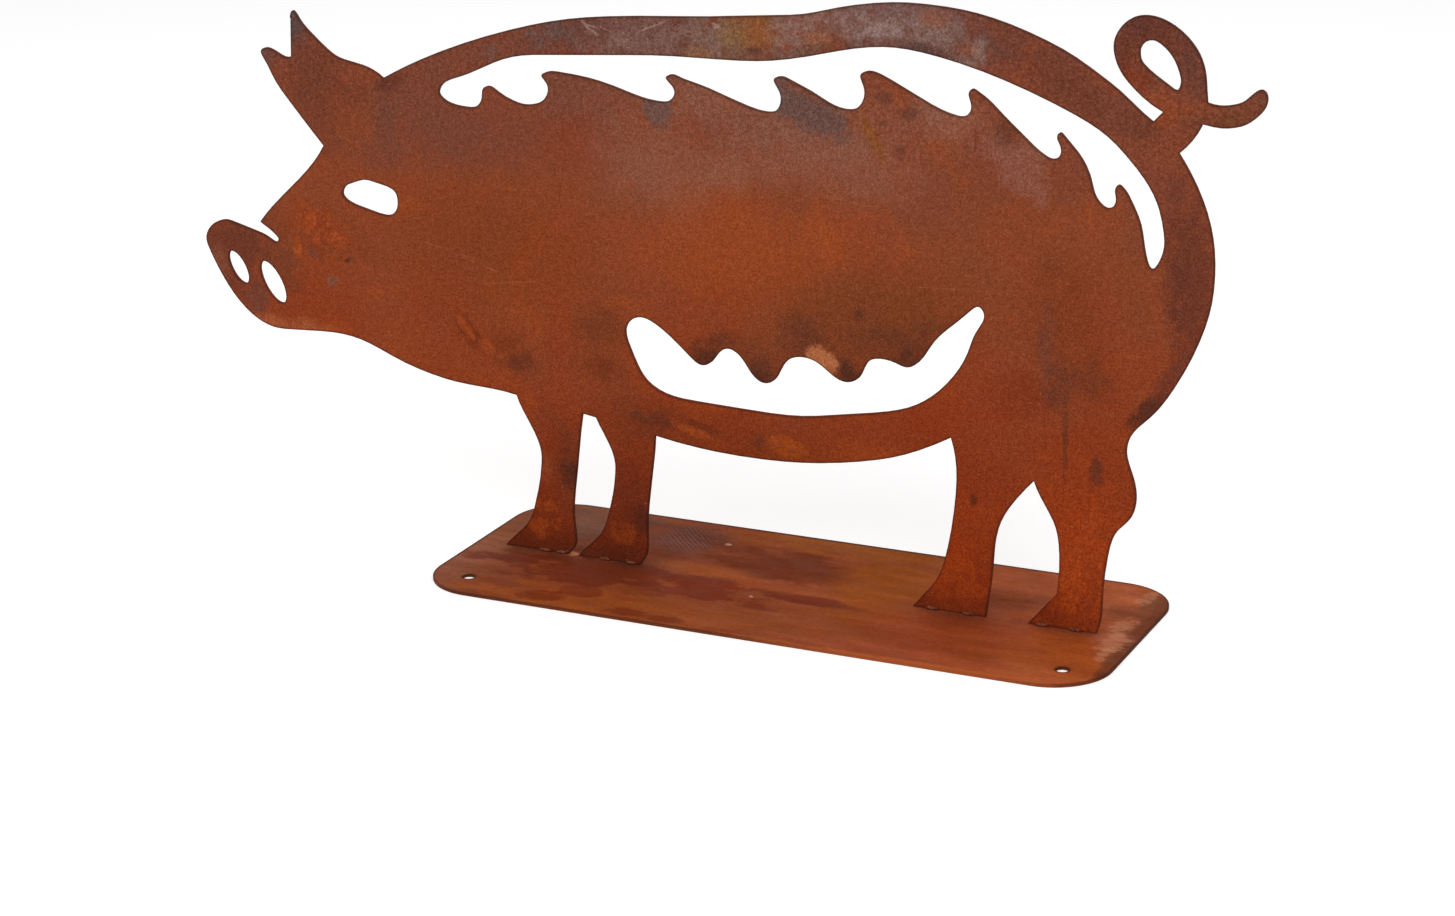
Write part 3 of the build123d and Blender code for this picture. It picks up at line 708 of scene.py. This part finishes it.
# Raised scale on the front of the sheet, listed as x, z, half width, half height and turn.
scale_patch("cheek_scale", 1, cheek_spots())
scale_patch("chest_scale", 60, (
    (-184, 119, 1.7, 4.4, 38), (-178.5, 112.5, 1.4, 3, 42),
    (-171, 108, 1.9, 3.4, 45), (-162, 103.5, 1.8, 1.4, 0)))
scale_patch("belly_scale", 70, (
    (-59, 77.5, 3.4, 1.5, -12), (-51.5, 76.5, 3, 1.5, -10), (-46, 75, 1.6, 1, -14),
    (-9, 76.3, 4.4, 2, -10), (-0.5, 75, 3, 2, -14), (6, 73.3, 2.4, 1.3, -14)))
# Two drops of weld spatter on the plate, pale with a painted highlight: x, y and half width.
for number, (x, y, size) in enumerate(((-57, 43, 1.8), (-15, -20, 1.2)), 1):
    drop = bmesh.new()
    scab(drop, 30 + number, Vector((x, y, TOP)) * MM, BACK, UP, size, size * 0.8, SPATTER_THICK, 0)
    bmesh.ops.recalc_face_normals(drop, faces=drop.faces)
    new_piece(f"plate_spatter_{number}", drop, SPATTER_GLINT)


# Studio: half the floor's side and its drop in metres, the floor's glow and the world's light on the object.
FLOOR_HALF = 9
FLOOR_DROP = 0.05 * MM
FLOOR_GLOW = 0.3
WORLD_LIGHT = 0.62


def seen_directly(tree):
    """1 for rays that the eye follows, also through glass or by a mirror, 0 for light on the object."""
    path = tree.nodes.new("ShaderNodeLightPath")
    seen = path.outputs["Is Camera Ray"]
    for ray in ("Is Glossy Ray", "Is Transmission Ray"):
        either = tree.nodes.new("ShaderNodeMath")
        either.operation = "MAXIMUM"
        tree.links.new(seen, either.inputs[0])
        tree.links.new(path.outputs[ray], either.inputs[1])
        seen = either.outputs[0]
    return seen


def shift(tree, value, low, high):
    """A value of 0 to 1 made to run from low to high."""
    node = tree.nodes.new("ShaderNodeMapRange")
    node.inputs["To Min"].default_value = low
    node.inputs["To Max"].default_value = high
    tree.links.new(value, node.inputs["Value"])
    return node.outputs["Result"]


def floor():
    """A plain pale floor that glows a little for the eye and still shows the shadow."""
    mesh = bmesh.new()
    bmesh.ops.create_grid(mesh, x_segments=4, y_segments=4, size=FLOOR_HALF)
    data = bpy.data.meshes.new("floor")
    mesh.to_mesh(data)
    mesh.free()
    ground = bpy.data.objects.new("floor", data)
    ground.location.z = -FLOOR_DROP
    bpy.context.scene.collection.objects.link(ground)
    pale = bpy.data.materials.new("pale_floor")
    pale.use_nodes = True
    tree = pale.node_tree
    shader = tree.nodes["Principled BSDF"]
    shader.inputs["Base Color"].default_value = (0.8, 0.8, 0.8, 1)
    shader.inputs["Roughness"].default_value = 1
    shader.inputs["Specular IOR Level"].default_value = 0
    shader.inputs["Emission Color"].default_value = (1, 1, 1, 1)
    tree.links.new(shift(tree, seen_directly(tree), 0, FLOOR_GLOW), shader.inputs["Emission Strength"])
    data.materials.append(pale)


def surroundings():
    """A world that is white to the eye and lights the object a little less."""
    world = bpy.data.worlds.new("studio")
    bpy.context.scene.world = world
    world.use_nodes = True
    tree = world.node_tree
    sky = tree.nodes["Background"]
    sky.inputs["Color"].default_value = (1, 1, 1, 1)
    tree.links.new(shift(tree, seen_directly(tree), WORLD_LIGHT, 1), sky.inputs["Strength"])


def lamp(name, place, aim, size, power):
    """A soft rectangular lamp: place, aim and size in metres, power in watts."""
    data = bpy.data.lights.new(name, "AREA")
    data.shape = "RECTANGLE"
    data.size, data.size_y = size
    data.energy = power
    light = bpy.data.objects.new(name, data)
    light.location = place
    light.rotation_euler = (Vector(aim) - Vector(place)).to_track_quat("-Z", "Y").to_euler()
    bpy.context.scene.collection.objects.link(light)


# The photo's camera, worked out from the plate's straight edges. Angles in degrees, places in metres.
AZIMUTH = 25.459
ELEVATION = 18.797
ROLL = -1.001
CAMERA_AIM = Vector((-0.036017, 0, 0.065162))
CAMERA_DISTANCE = 1.671317
FOCAL_PIXELS = 3364.28
PHOTO_WIDTH_PIXELS = 1455
SENSOR_WIDTH = 36  # mm


def camera():
    """Looks at the object from the photo's place."""
    azimuth, elevation, roll = (math.radians(angle) for angle in (AZIMUTH, ELEVATION, ROLL))
    level = math.cos(elevation)
    back = Vector((math.sin(azimuth) * level, -math.cos(azimuth) * level, math.sin(elevation)))
    flat_right = Vector((math.cos(azimuth), math.sin(azimuth), 0))
    flat_up = back.cross(flat_right)
    right = math.cos(roll) * flat_right + math.sin(roll) * flat_up
    up = -math.sin(roll) * flat_right + math.cos(roll) * flat_up
    data = bpy.data.cameras.new("photo_camera")
    data.sensor_width = SENSOR_WIDTH
    data.lens = FOCAL_PIXELS / PHOTO_WIDTH_PIXELS * SENSOR_WIDTH
    eye = bpy.data.objects.new("photo_camera", data)
    eye.location = CAMERA_AIM + back * CAMERA_DISTANCE
    eye.rotation_mode = "QUATERNION"
    eye.rotation_quaternion = Matrix((right, up, back)).transposed().to_quaternion()
    bpy.context.scene.collection.objects.link(eye)
    bpy.context.scene.camera = eye


floor()
surroundings()
lamp("key", (1.1, -1.5, 1.9), (0, 0, 0.12), (1.6, 1.4), 20)
lamp("top", (0.1, 0.3, 2.2), (0, 0, 0), (2.2, 1.6), 14)
lamp("fill", (-1.5, -1.4, 1.1), (0, 0, 0.12), (1.6, 1.4), 9)
camera()
bpy.context.scene.view_settings.view_transform = "Standard"
